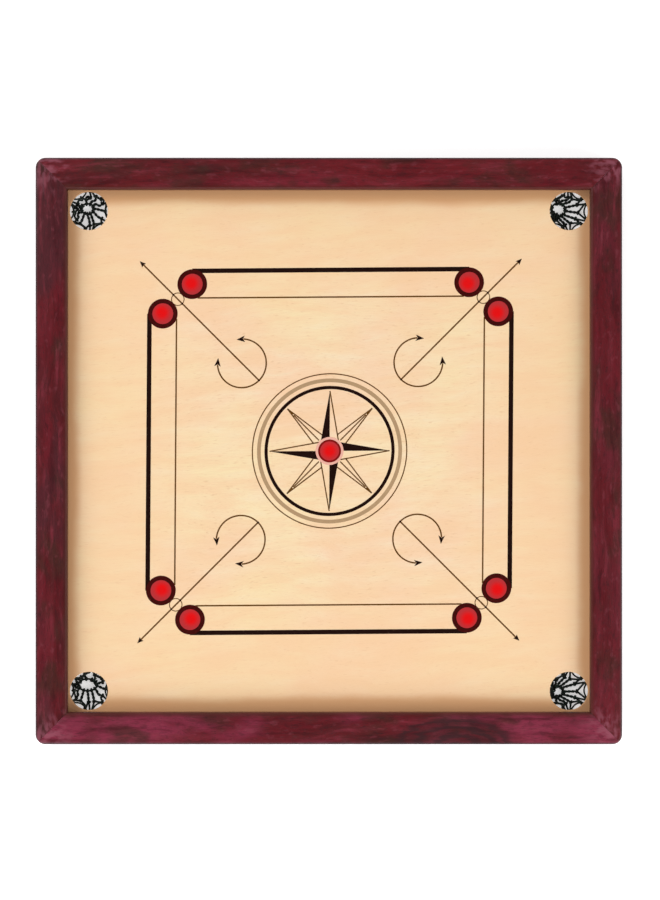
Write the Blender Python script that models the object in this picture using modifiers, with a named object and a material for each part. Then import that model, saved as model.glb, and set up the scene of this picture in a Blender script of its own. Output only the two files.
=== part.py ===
"""Carrom board: a square plywood playing bed let into a mitred hardwood frame.

Two half-lapped battens brace the bed from below, and a corded net hangs under each
of the four corner pockets. Wire nails hold the frame, the bed and the battens, and
short tacks hold the nets.

Metres, +Z up. The origin is the middle of the board's underside, and the front is -Y.
"""

import math
from collections import namedtuple

import bmesh
import bpy
from mathutils import Vector

MM = 0.001

# Clearance between pieces that touch on the real board
GAP = 0.3 * MM

# Frame
BOARD_WIDTH = 660 * MM
BOARD_HEIGHT = 38 * MM
RAIL_WIDTH = 35.5 * MM
RABBET_WIDTH = 8 * MM
CORNER_RADIUS = 11 * MM
CORNER_STEPS = 7
TOP_ROUNDING = 3 * MM
BOTTOM_ROUNDING = 1.2 * MM
RAIL_BEVEL_STEPS = 5

# Playing bed
BED_TOP = 20 * MM
BED_THICKNESS = 6 * MM
BED_ARRIS = 0.4 * MM

# Pockets
POCKET_RADIUS = 21.6 * MM
POCKET_FROM_RAIL = 23.3 * MM
POCKET_SEGMENTS = 64

# Battens
BATTEN_WIDTH = 28 * MM
BATTEN_HEIGHT = 12 * MM
BATTEN_ROUNDING = 1 * MM
BATTEN_ROUNDING_STEPS = 2

# Nets: the outer outline from the mouth to the lowest point, as radius and height
NET_OUTLINE = (
    (22.7 * MM, 13.4 * MM),
    (22.7 * MM, 9.4 * MM),
    (21.6 * MM, 5.8 * MM),
    (17.8 * MM, 2.6 * MM),
    (11.0 * MM, 0.8 * MM),
    (0.0 * MM, 0.5 * MM),
)
NET_THICKNESS = 1.8 * MM
NET_SEGMENTS = 24

# Fasteners: lengths along the shank, radii across it
Fastener = namedtuple("Fastener", "length shank head head_height point")
MITRE_NAIL = Fastener(40 * MM, 1.1 * MM, 2.4 * MM, 0.9 * MM, 3 * MM)
BATTEN_NAIL = Fastener(46 * MM, 1.1 * MM, 2.4 * MM, 0.9 * MM, 3 * MM)
BED_NAIL = Fastener(19 * MM, 0.9 * MM, 2.1 * MM, 0.8 * MM, 2.5 * MM)
NET_TACK = Fastener(7.6 * MM, 0.7 * MM, 2.1 * MM, 0.8 * MM, 2 * MM)
FASTENER_SEGMENTS = 10
NAIL_TIP_RADIUS = 0.25 * MM
HEAD_SINK = 0.2 * MM

# Places of the fasteners
MITRE_NAIL_INSET = 14 * MM
MITRE_NAIL_HEIGHTS = (9 * MM, 28 * MM)
BED_NAIL_INSET = 4.2 * MM
BED_NAIL_SPACING = 200 * MM
BED_NAILS_PER_SIDE = 3
TACKS_PER_POCKET = 6
TACK_CIRCLE_RADIUS = 25.3 * MM
TACK_HEAD_DROP = 3.1 * MM

# Worked out from the sizes above
HALF_BOARD = BOARD_WIDTH / 2
HALF_OPENING = HALF_BOARD - RAIL_WIDTH
HALF_RABBET = HALF_OPENING + RABBET_WIDTH
LEDGE = BED_TOP + GAP
BED_UNDERSIDE = BED_TOP - BED_THICKNESS
HALF_BED = HALF_RABBET - GAP
POCKET_PLACE = HALF_OPENING - POCKET_FROM_RAIL
BATTEN_TOP = BED_UNDERSIDE - GAP
BATTEN_BOTTOM = BATTEN_TOP - BATTEN_HEIGHT
BATTEN_MIDDLE = (BATTEN_TOP + BATTEN_BOTTOM) / 2

# The four sides, each a quarter turn on from the one before
SIDES = ("front", "right", "back", "left")
CORNERS = {
    "front_left": (-1, -1),
    "front_right": (1, -1),
    "back_right": (1, 1),
    "back_left": (-1, 1),
}

BEYOND = 10 * MM  # how far a cutter runs past what it cuts
MERGE_DISTANCE = 0.01 * MM
SHARP_ANGLE = math.radians(60)  # edges sharper than this stay crisp, or take an arris


def start_scene():
    """Empties the scene and gives it the board's collection and one for cutters."""
    for old in list(bpy.data.objects):
        bpy.data.objects.remove(old, do_unlink=True)
    made = []
    for name in ("carrom_board", "cutters"):
        made.append(bpy.data.collections.new(name))
        bpy.context.scene.collection.children.link(made[-1])
    return made


board, cutters = start_scene()


def material(name, colour, roughness, metallic=0.0):
    made = bpy.data.materials.new(name)
    made.use_nodes = True
    shader = made.node_tree.nodes["Principled BSDF"]
    shader.inputs["Base Color"].default_value = (*colour, 1.0)
    shader.inputs["Roughness"].default_value = roughness
    shader.inputs["Metallic"].default_value = metallic
    return made


STAINED_HARDWOOD = material("stained_hardwood", (0.105, 0.020, 0.026), 0.42)
VARNISHED_PLY = material("varnished_ply", (0.92, 0.66, 0.40), 0.35)
RAW_PINE = material("raw_pine", (0.62, 0.42, 0.22), 0.7)
NAIL_STEEL = material("nail_steel", (0.40, 0.39, 0.37), 0.42, 1.0)
BLUED_STEEL = material("blued_steel", (0.07, 0.08, 0.10), 0.38, 1.0)
NET_CORD = material("net_cord", (0.012, 0.018, 0.015), 0.85)


def add_piece(name, mesh, look):
    """A sub-part of the board. Copies of one mesh share its material."""
    if not mesh.materials:
        mesh.materials.append(look)
    piece = bpy.data.objects.new(name, mesh)
    board.objects.link(piece)
    return piece


def add_cutter(name, mesh, group=cutters):
    """A shape that only cuts others, such as a hole or a rabbet."""
    cutter = bpy.data.objects.new(name, mesh)
    cutter.hide_render = True
    cutter.display_type = "WIRE"
    group.objects.link(cutter)
    return cutter


def cutter_group(name):
    group = bpy.data.collections.new(name)
    cutters.children.link(group)
    return group


def cut(piece, cutter=None, group=None):
    """Takes one cutter, or all of a group's, away from a piece."""
    boolean = piece.modifiers.new("cut", "BOOLEAN")
    boolean.operation = "DIFFERENCE"
    boolean.solver = "EXACT"
    if group is None:
        boolean.object = cutter
    else:
        boolean.operand_type = "COLLECTION"
        boolean.collection = group


def box_mesh(name, low, high):
    """A box from its lowest to its highest corner."""
    low = Vector(low)
    high = Vector(high)
    bm = bmesh.new()
    bmesh.ops.create_cube(bm, size=1)
    bmesh.ops.scale(bm, vec=high - low, verts=bm.verts)
    bmesh.ops.translate(bm, vec=(low + high) / 2, verts=bm.verts)
    mesh = bpy.data.meshes.new(name)
    bm.to_mesh(mesh)
    bm.free()
    return mesh


def profile_mesh(name, points):
    """A turned shape's outline of (radius, height) points, top to bottom outside."""
    bm = bmesh.new()
    last = None
    for radius, height in points:
        vert = bm.verts.new((radius, 0, height))
        if last is not None:
            bm.edges.new((last, vert))
        last = vert
    mesh = bpy.data.meshes.new(name)
    bm.to_mesh(mesh)
    bm.free()
    return mesh


def turn(piece, segments):
    """Spins a piece's outline once round its own Z axis."""
    screw = piece.modifiers.new("turn", "SCREW")
    screw.steps = segments
    screw.render_steps = segments
    screw.use_merge_vertices = True
    screw.merge_threshold = MERGE_DISTANCE
    screw.use_smooth_shade = True


def turned_mesh(name, outline, segments):
    """One mesh for many like turned shapes, smooth round its sides."""
    blank = add_cutter(name, profile_mesh(name, outline))
    turn(blank, segments)
    graph = bpy.context.evaluated_depsgraph_get()
    mesh = bpy.data.meshes.new_from_object(blank.evaluated_get(graph), depsgraph=graph)
    bpy.data.objects.remove(blank)
    mesh.shade_smooth()
    mesh.set_sharp_from_angle(angle=SHARP_ANGLE)
    return mesh


# Fasteners ---------------------------------------------------------------------------


def nail_outline(kind):
    """The head's top is at zero and the point is below it."""
    return (
        (0, 0),
        (kind.head, 0),
        (kind.head, -kind.head_height),
        (kind.shank, -kind.head_height),
        (kind.shank, kind.point - kind.length),
        (NAIL_TIP_RADIUS, -kind.length),
        (0, -kind.length),
    )


def nail_hole_outline(kind):
    """The room for a nail, a gap larger all round and open above the head."""
    head_floor = -kind.head_height - GAP
    return (
        (0, BEYOND),
        (kind.head + GAP, BEYOND),
        (kind.head + GAP, head_floor),
        (kind.shank + GAP, head_floor),
        (kind.shank + GAP, -kind.length - GAP),
        (0, -kind.length - GAP),
    )


def drive(name, meshes, look, head_at, along, holes):
    """A nail with its head at a point, driven along a direction through some woods.

    Each of the holes is the cutter group of a wood that the nail goes through.
    """
    nail_mesh, hole_mesh = meshes
    turned_to = Vector(along).to_track_quat("-Z", "Y").to_euler()
    nail = add_piece(name, nail_mesh, look)
    rooms = [add_cutter(name + "_hole", hole_mesh, group) for group in holes]
    for made in (nail, *rooms):
        made.location = head_at
        made.rotation_euler = turned_to


def fastener_meshes(name, kind):
    return (
        turned_mesh(name, nail_outline(kind), FASTENER_SEGMENTS),
        turned_mesh(name + "_hole", nail_hole_outline(kind), FASTENER_SEGMENTS),
    )


def quarter_turned(side, point):
    """Where a point of the front side goes on another side."""
    x, y, z = point
    for _ in range(SIDES.index(side)):
        x, y = -y, x
    return (x, y, z)


def drive_mitre_nails(rail_holes):
    """Two crossing nails at each corner, one through each of the two rails.

    On the front side's right corner the low nail enters the front face and the
    high nail enters the right face, so they pass each other.
    """
    meshes = fastener_meshes("mitre_nail", MITRE_NAIL)
    inset = HALF_BOARD - MITRE_NAIL_INSET
    sunk = HALF_BOARD - HEAD_SINK
    low, high = MITRE_NAIL_HEIGHTS
    for i, side in enumerate(SIDES):
        following = SIDES[(i + 1) % len(SIDES)]
        holes = (rail_holes[side], rail_holes[following])
        corner = f"{side}_{following}"
        for level, head_at, along in (
            ("low", (inset, -sunk, low), (0, 1, 0)),
            ("high", (sunk, -inset, high), (-1, 0, 0)),
        ):
            drive(
                f"mitre_nail_{corner}_{level}",
                meshes,
                NAIL_STEEL,
                quarter_turned(side, head_at),
                quarter_turned(side, along),
                holes,
            )


def drive_bed_nails(rail_holes, bed_holes):
    """A row of nails under each side, up through the bed into the rail's ledge."""
    meshes = fastener_meshes("bed_nail", BED_NAIL)
    line = HALF_OPENING + BED_NAIL_INSET
    middle = (BED_NAILS_PER_SIDE - 1) / 2
    for side in SIDES:
        for i in range(BED_NAILS_PER_SIDE):
            head_at = ((i - middle) * BED_NAIL_SPACING, -line, BED_UNDERSIDE + HEAD_SINK)
            drive(
                f"bed_nail_{side}_{i + 1}",
                meshes,
                NAIL_STEEL,
                quarter_turned(side, head_at),
                (0, 0, 1),
                (rail_holes[side], bed_holes),
            )


def drive_batten_nails(rail_holes, batten_holes):
    """One nail into each end of each batten, through the rail it meets."""
    meshes = fastener_meshes("batten_nail", BATTEN_NAIL)
    for i, side in enumerate(SIDES):
        batten = ("along", "across")[i % 2]
        head_at = (0, HEAD_SINK - HALF_BOARD, BATTEN_MIDDLE)
        drive(
            f"batten_nail_{side}",
            meshes,
            NAIL_STEEL,
            quarter_turned(side, head_at),
            quarter_turned(side, (0, 1, 0)),
            (rail_holes[side], batten_holes[batten]),
        )


def drive_net_tacks(bed_holes):
    """Tacks round each pocket, their heads standing off the bed to hold the net."""
    meshes = fastener_meshes("net_tack", NET_TACK)
    head_height = BED_UNDERSIDE - TACK_HEAD_DROP
    for corner, (across, along) in CORNERS.items():
        for i in range(TACKS_PER_POCKET):
            angle = math.tau * (i + 0.5) / TACKS_PER_POCKET
            head_at = (
                across * POCKET_PLACE + TACK_CIRCLE_RADIUS * math.cos(angle),
                along * POCKET_PLACE + TACK_CIRCLE_RADIUS * math.sin(angle),
                head_height,
            )
            name = f"net_tack_{corner}_{i + 1}"
            drive(name, meshes, BLUED_STEEL, head_at, (0, 0, 1), (bed_holes,))


# Woods -------------------------------------------------------------------------------


def rail_plan():
    """The front rail's outline from above, anticlockwise from its left end.

    Both ends are mitred, and stand half a gap back from the mitre.
    """
    centre = HALF_BOARD - CORNER_RADIUS
    start = math.radians(-90)
    end = math.radians(-45) - math.asin(GAP / 2 / CORNER_RADIUS)
    right_arc = []
    for i in range(CORNER_STEPS + 1):
        angle = start + (end - start) * i / CORNER_STEPS
        x = centre + CORNER_RADIUS * math.cos(angle)
        y = -centre + CORNER_RADIUS * math.sin(angle)
        right_arc.append((x, y))
    left_arc = [(-x, y) for x, y in reversed(right_arc)]
    mitre_setback = GAP / 2 * math.sqrt(2)
    inner = HALF_OPENING - mitre_setback
    return left_arc + right_arc + [(inner, -HALF_OPENING), (-inner, -HALF_OPENING)]


def rail_mesh():
    """The front rail's blank, its long edges marked for rounding."""
    bm = bmesh.new()
    plan = rail_plan()
    floor = bm.faces.new([bm.verts.new((x, y, 0)) for x, y in plan])
    raised = bmesh.ops.extrude_face_region(bm, geom=[floor])["geom"]
    top = [v for v in raised if isinstance(v, bmesh.types.BMVert)]
    bmesh.ops.translate(bm, vec=(0, 0, BOARD_HEIGHT), verts=top)
    bmesh.ops.recalc_face_normals(bm, faces=bm.faces)
    weight = bm.edges.layers.float.new("bevel_weight_edge")
    for edge in bm.edges:
        a, b = (v.co for v in edge.verts)
        upright = abs(a.z - b.z) > GAP
        mitred = abs(a.y - b.y) > RAIL_WIDTH / 2
        inner = max(a.y, b.y) > -HALF_OPENING - GAP
        if upright or mitred:
            continue
        if a.z > BOARD_HEIGHT / 2:
            edge[weight] = 1
        elif not inner:
            edge[weight] = BOTTOM_ROUNDING / TOP_ROUNDING
    mesh = bpy.data.meshes.new("rail")
    bm.to_mesh(mesh)
    bm.free()
    return mesh


def make_rails(rail_holes):
    """One rail a side, all from one blank, with a rabbet under the inner edge."""
    mesh = rail_mesh()
    rabbet = add_cutter(
        "rabbet",
        box_mesh(
            "rabbet",
            (-HALF_RABBET, -HALF_RABBET, -BEYOND),
            (HALF_RABBET, HALF_RABBET, LEDGE),
        ),
    )
    for i, side in enumerate(SIDES):
        rail = add_piece(f"rail_{side}", mesh, STAINED_HARDWOOD)
        rail.rotation_euler.z = i * math.pi / 2
        rounding = rail.modifiers.new("rounding", "BEVEL")
        rounding.limit_method = "WEIGHT"
        rounding.width = TOP_ROUNDING
        rounding.segments = RAIL_BEVEL_STEPS
        cut(rail, cutter=rabbet)
        cut(rail, group=rail_holes[side])


def pocket_mesh():
    """A plug the size of a pocket."""
    bm = bmesh.new()
    bmesh.ops.create_cone(
        bm,
        cap_ends=True,
        segments=POCKET_SEGMENTS,
        radius1=POCKET_RADIUS,
        radius2=POCKET_RADIUS,
        depth=BED_THICKNESS + 2 * BEYOND,
    )
    mesh = bpy.data.meshes.new("pocket")
    bm.to_mesh(mesh)
    bm.free()
    mesh.shade_smooth()
    mesh.set_sharp_from_angle(angle=SHARP_ANGLE)
    return mesh


def make_bed(bed_holes):
    """The plywood sheet with its four round pockets."""
    bed = add_piece(
        "playing_bed",
        box_mesh(
            "playing_bed",
            (-HALF_BED, -HALF_BED, BED_UNDERSIDE),
            (HALF_BED, HALF_BED, BED_TOP),
        ),
        VARNISHED_PLY,
    )
    pockets = cutter_group("pockets")
    plug = pocket_mesh()
    for corner, (across, along) in CORNERS.items():
        pocket = add_cutter(f"pocket_{corner}", plug, pockets)
        pocket.location = (across * POCKET_PLACE, along * POCKET_PLACE, BED_TOP)
    cut(bed, group=pockets)
    arris = bed.modifiers.new("arris", "BEVEL")
    arris.limit_method = "ANGLE"
    arris.angle_limit = SHARP_ANGLE
    arris.width = BED_ARRIS
    arris.segments = 1
    cut(bed, group=bed_holes)


def make_battens(batten_holes):
    """Two battens that cross under the bed in a half lap, each cut half away."""
    half_length = HALF_RABBET - GAP
    half_width = BATTEN_WIDTH / 2
    half_notch = half_width + GAP
    notches = {
        "across": (BATTEN_MIDDLE - GAP / 2, BATTEN_TOP + BEYOND),
        "along": (BATTEN_BOTTOM - BEYOND, BATTEN_MIDDLE + GAP / 2),
    }
    for name, (notch_low, notch_high) in notches.items():
        mesh = box_mesh(
            f"batten_{name}",
            (-half_length, -half_width, BATTEN_BOTTOM),
            (half_length, half_width, BATTEN_TOP),
        )
        notch = box_mesh(
            f"notch_{name}",
            (-half_notch, -half_width - BEYOND, notch_low),
            (half_notch, half_width + BEYOND, notch_high),
        )
        batten = add_piece(f"batten_{name}", mesh, RAW_PINE)
        cutter = add_cutter(f"notch_{name}", notch)
        if name == "along":
            batten.rotation_euler.z = math.pi / 2
            cutter.rotation_euler.z = math.pi / 2
        rounding = batten.modifiers.new("rounding", "BEVEL")
        rounding.width = BATTEN_ROUNDING
        rounding.segments = BATTEN_ROUNDING_STEPS
        cut(batten, cutter=cutter)
        cut(batten, group=batten_holes[name])


# Nets --------------------------------------------------------------------------------


def make_nets():
    """A shallow bag of net under each pocket, hung by its mouth."""
    outline = profile_mesh("pocket_net", NET_OUTLINE)
    for corner, (across, along) in CORNERS.items():
        net = add_piece(f"pocket_net_{corner}", outline, NET_CORD)
        net.location = (across * POCKET_PLACE, along * POCKET_PLACE, 0)
        turn(net, NET_SEGMENTS)
        wall = net.modifiers.new("wall", "SOLIDIFY")
        wall.thickness = NET_THICKNESS
        wall.offset = -1
        wall.use_even_offset = True


rail_holes = {side: cutter_group(f"{side}_rail_holes") for side in SIDES}
batten_holes = {name: cutter_group(f"{name}_batten_holes") for name in ("across", "along")}
bed_holes = cutter_group("bed_holes")

drive_mitre_nails(rail_holes)
drive_bed_nails(rail_holes, bed_holes)
drive_batten_nails(rail_holes, batten_holes)
drive_net_tacks(bed_holes)
make_rails(rail_holes)
make_bed(bed_holes)
make_battens(batten_holes)
make_nets()
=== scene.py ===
import math

import bmesh
import bpy
import numpy as np
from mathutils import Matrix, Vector


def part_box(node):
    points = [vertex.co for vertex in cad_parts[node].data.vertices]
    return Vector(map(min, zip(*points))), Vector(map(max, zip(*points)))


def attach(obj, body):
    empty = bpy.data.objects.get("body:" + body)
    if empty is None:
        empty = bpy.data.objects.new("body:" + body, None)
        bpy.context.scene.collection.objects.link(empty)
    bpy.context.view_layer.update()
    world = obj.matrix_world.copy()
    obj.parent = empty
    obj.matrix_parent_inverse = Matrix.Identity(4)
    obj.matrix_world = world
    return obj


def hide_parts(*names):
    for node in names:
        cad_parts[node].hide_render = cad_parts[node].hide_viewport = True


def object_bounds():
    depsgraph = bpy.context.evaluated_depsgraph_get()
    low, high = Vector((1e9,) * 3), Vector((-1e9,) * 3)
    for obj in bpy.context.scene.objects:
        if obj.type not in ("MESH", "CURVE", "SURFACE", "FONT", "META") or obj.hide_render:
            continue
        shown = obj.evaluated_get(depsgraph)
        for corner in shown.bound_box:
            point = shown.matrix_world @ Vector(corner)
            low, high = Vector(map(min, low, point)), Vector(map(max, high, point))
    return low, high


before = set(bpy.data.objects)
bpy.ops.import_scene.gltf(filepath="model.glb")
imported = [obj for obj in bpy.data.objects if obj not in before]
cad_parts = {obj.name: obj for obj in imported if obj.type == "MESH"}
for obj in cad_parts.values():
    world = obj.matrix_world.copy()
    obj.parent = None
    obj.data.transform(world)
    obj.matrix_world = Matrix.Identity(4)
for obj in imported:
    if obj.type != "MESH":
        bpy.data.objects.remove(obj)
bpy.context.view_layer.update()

MM = 0.001

# Where things are, from the frame -----------------------------------

BOARD_LOW, BOARD_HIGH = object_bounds()
CENTRE = (BOARD_LOW + BOARD_HIGH) / 2
FLOOR = BOARD_LOW.z
BED_LOW, BED_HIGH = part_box("playing_bed")
BED_TOP = BED_HIGH.z
BED_UNDERSIDE = BED_LOW.z
HALF_BOARD = BOARD_HIGH.x
HALF_OPENING = -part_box("rail_front")[1].y
CORNERS = {
    "front_left": (-1, -1),
    "front_right": (1, -1),
    "back_right": (1, 1),
    "back_left": (-1, 1),
}

# Camera and light ---------------------------------------------------

CAMERA_LENS = 135
CAMERA_SENSOR = 36
CAMERA_ASIDE = 1.3 * MM
CAMERA_FORWARD = 1.1 * MM
CAMERA_REACH = 20
VIEW_HEIGHT = 1012 * MM

CEILING_FADE = {"From Min": 0.72, "From Max": 0.95, "To Min": 0.72, "To Max": 0.08}
SOFTBOX_SIZE = 1.5
SOFTBOXES = (
    ("softbox_left", (-2.3, 1.4, 1.8), 36),
    ("softbox_right", (2.4, -1.2, 1.9), 33),
    ("softbox_front", (-0.7, -2.6, 1.8), 24),
)


def new_object(name, data):
    thing = bpy.data.objects.new(name, data)
    bpy.context.scene.collection.objects.link(thing)
    return thing


def make_camera():
    """Straight above the board, far enough off for nearly parallel sight lines."""
    camera = bpy.data.cameras.new("camera")
    camera.lens = CAMERA_LENS
    camera.sensor_width = CAMERA_SENSOR
    camera.clip_end = CAMERA_REACH
    distance = VIEW_HEIGHT * CAMERA_LENS / CAMERA_SENSOR
    holder = new_object("camera", camera)
    holder.location = (
        CENTRE.x + CAMERA_ASIDE,
        CENTRE.y + CAMERA_FORWARD,
        BOARD_HIGH.z + distance,
    )
    bpy.context.scene.camera = holder


def make_softbox(name, place, size, power):
    light = bpy.data.lights.new(name, "AREA")
    light.size = size
    light.energy = power
    holder = new_object(name, light)
    holder.location = place
    holder.rotation_euler = (CENTRE - Vector(place)).to_track_quat("-Z", "Y").to_euler()


def make_studio():
    """White walls under a dark ceiling, and a broad softbox low on each side."""
    world = bpy.data.worlds.new("studio")
    world.use_nodes = True
    tree = world.node_tree
    sky = tree.nodes["Background"]
    direction = tree.nodes.new("ShaderNodeTexCoord")
    height = tree.nodes.new("ShaderNodeSeparateXYZ")
    fade = tree.nodes.new("ShaderNodeMapRange")
    fade.interpolation_type = "SMOOTHSTEP"
    for name, value in CEILING_FADE.items():
        fade.inputs[name].default_value = value
    tree.links.new(direction.outputs["Generated"], height.inputs[0])
    tree.links.new(height.outputs["Z"], fade.inputs["Value"])
    tree.links.new(fade.outputs["Result"], sky.inputs["Strength"])
    sky.inputs["Color"].default_value = (1, 1, 1, 1)
    bpy.context.scene.world = world
    for name, place, power in SOFTBOXES:
        make_softbox(name, place, SOFTBOX_SIZE, power)
    bpy.context.scene.view_settings.view_transform = "Standard"
    bpy.context.scene.view_settings.look = "None"


make_camera()
make_studio()


# Materials ----------------------------------------------------------


# Where a Mix node keeps its two colours, and where it gives the result.
MIX_COLOURS = (6, 7)
MIX_RESULT = 2


class Graph:
    """One material's nodes. Each method adds a node and gives its output socket."""

    def __init__(self, name):
        self.material = bpy.data.materials.new(name)
        self.material.use_nodes = True
        self.tree = self.material.node_tree
        self.shader = self.tree.nodes["Principled BSDF"]

    def add(self, kind, inputs, output=0, **settings):
        """Any shader node, with its inputs' values or links and its own settings."""
        node = self.tree.nodes.new("ShaderNode" + kind)
        for name, value in settings.items():
            setattr(node, name, value)
        for key, value in inputs.items():
            self.feed(node.inputs[key], value)
        return node.outputs[output]

    def feed(self, socket, value):
        if isinstance(value, bpy.types.NodeSocket):
            self.tree.links.new(value, socket)
        elif socket.type == "RGBA":
            socket.default_value = (*value[:3], 1)
        else:
            socket.default_value = value

    def place(self):
        return self.add("TexCoord", {}, output="Object")

    def noise(self, vector, scale, detail=2.0, roughness=0.5):
        inputs = {"Vector": vector, "Scale": scale, "Detail": detail, "Roughness": roughness}
        return self.add("TexNoise", inputs)

    def grain(self, vector, along, across, detail=2.0, roughness=0.5):
        """Noise drawn out along X, with so many marks to a metre along and across it."""
        stretched = self.add("Mapping", {"Vector": vector, "Scale": (along, across, across)})
        return self.noise(stretched, 1, detail, roughness)

    def maths(self, operation, a, b=0.0):
        return self.add("Math", {0: a, 1: b}, operation=operation)

    def weigh(self, a, weight_a, b, weight_b):
        """Two values added up, each at its own weight."""
        first = self.maths("MULTIPLY", a, weight_a)
        return self.maths("ADD", first, self.maths("MULTIPLY", b, weight_b))

    def between(self, value, low, high, out_low=0.0, out_high=1.0):
        """A value from low to high, eased to a share from out_low to out_high."""
        return self.add(
            "MapRange",
            {
                "Value": value,
                "From Min": low,
                "From Max": high,
                "To Min": out_low,
                "To Max": out_high,
            },
            interpolation_type="SMOOTHSTEP",
        )

    def sway(self, vector, noise, reach):
        """The vector moved about by a noise, so that grain drawn on it wanders."""
        offset = self.maths("MULTIPLY", noise, reach)
        return self.add("VectorMath", {0: vector, 1: offset}, operation="ADD")

    def mix(self, share, a, b):
        """The colour that lies a share of the way from one to another."""
        node = self.tree.nodes.new("ShaderNodeMix")
        node.data_type = "RGBA"
        self.feed(node.inputs[0], share)
        for socket, colour in zip(MIX_COLOURS, (a, b)):
            self.feed(node.inputs[socket], colour)
        return node.outputs[MIX_RESULT]

    def tints(self, base, *layers):
        """A colour under tints: each a value, where it starts and is full, share and colour."""
        for value, start, full, share, colour in layers:
            base = self.mix(self.between(value, start, full, 0, share), base, colour)
        return base

    def ramp(self, share, *stops):
        """Colours along a value, each stop a place and its colour."""
        node = self.tree.nodes.new("ShaderNodeValToRGB")
        self.feed(node.inputs[0], share)
        elements = node.color_ramp.elements
        while len(elements) < len(stops):
            elements.new(0.5)
        for element, (position, colour) in zip(elements, stops):
            element.position = position
            element.color = (*colour, 1)
        return node.outputs[0]

    def axes(self, vector):
        node = self.tree.nodes.new("ShaderNodeSeparateXYZ")
        self.feed(node.inputs[0], vector)
        return node.outputs

    def bump(self, height, distance, strength):
        return self.add("Bump", {"Height": height, "Distance": distance, "Strength": strength})

    def finish(self, colour, roughness, normal=None, **constants):
        self.feed(self.shader.inputs["Base Color"], colour)
        self.feed(self.shader.inputs["Roughness"], roughness)
        if normal is not None:
            self.feed(self.shader.inputs["Normal"], normal)
        for name, value in constants.items():
            self.feed(self.shader.inputs[name.replace("_", " ")], value)
        return self.material


def srgb(red, green, blue):
    """A colour as it looks on screen, from 0 to 255, in linear light."""
    shares = np.array([red, green, blue]) / 255
    return tuple(
        float(s / 12.92 if s <= 0.04045 else ((s + 0.055) / 1.055) ** 2.4) for s in shares
    )


FLAME_LENGTH = 78 * MM
FLAME_WIDTH = 36 * MM
FLAME_RIPPLES = 26
RAIL_SWAY = 20 * MM

# Tints along the rails' edges and corners: where each one starts, and where it is full. The inner
# and outer ones are painted shade on the rails' roundings, the inner one with a painted brown
# reflection of the bed; the corner one is wear.
INNER_PAINTED_SHADE = (HALF_OPENING + 6 * MM, HALF_OPENING + 1 * MM)
OUTER_PAINTED_SHADE = (HALF_BOARD - 3 * MM, HALF_BOARD - 0.5 * MM)
CORNER_TINT = (HALF_OPENING + 20 * MM, HALF_BOARD + 20 * MM)
CORNER_TINT_WANDER = 60 * MM


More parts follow.
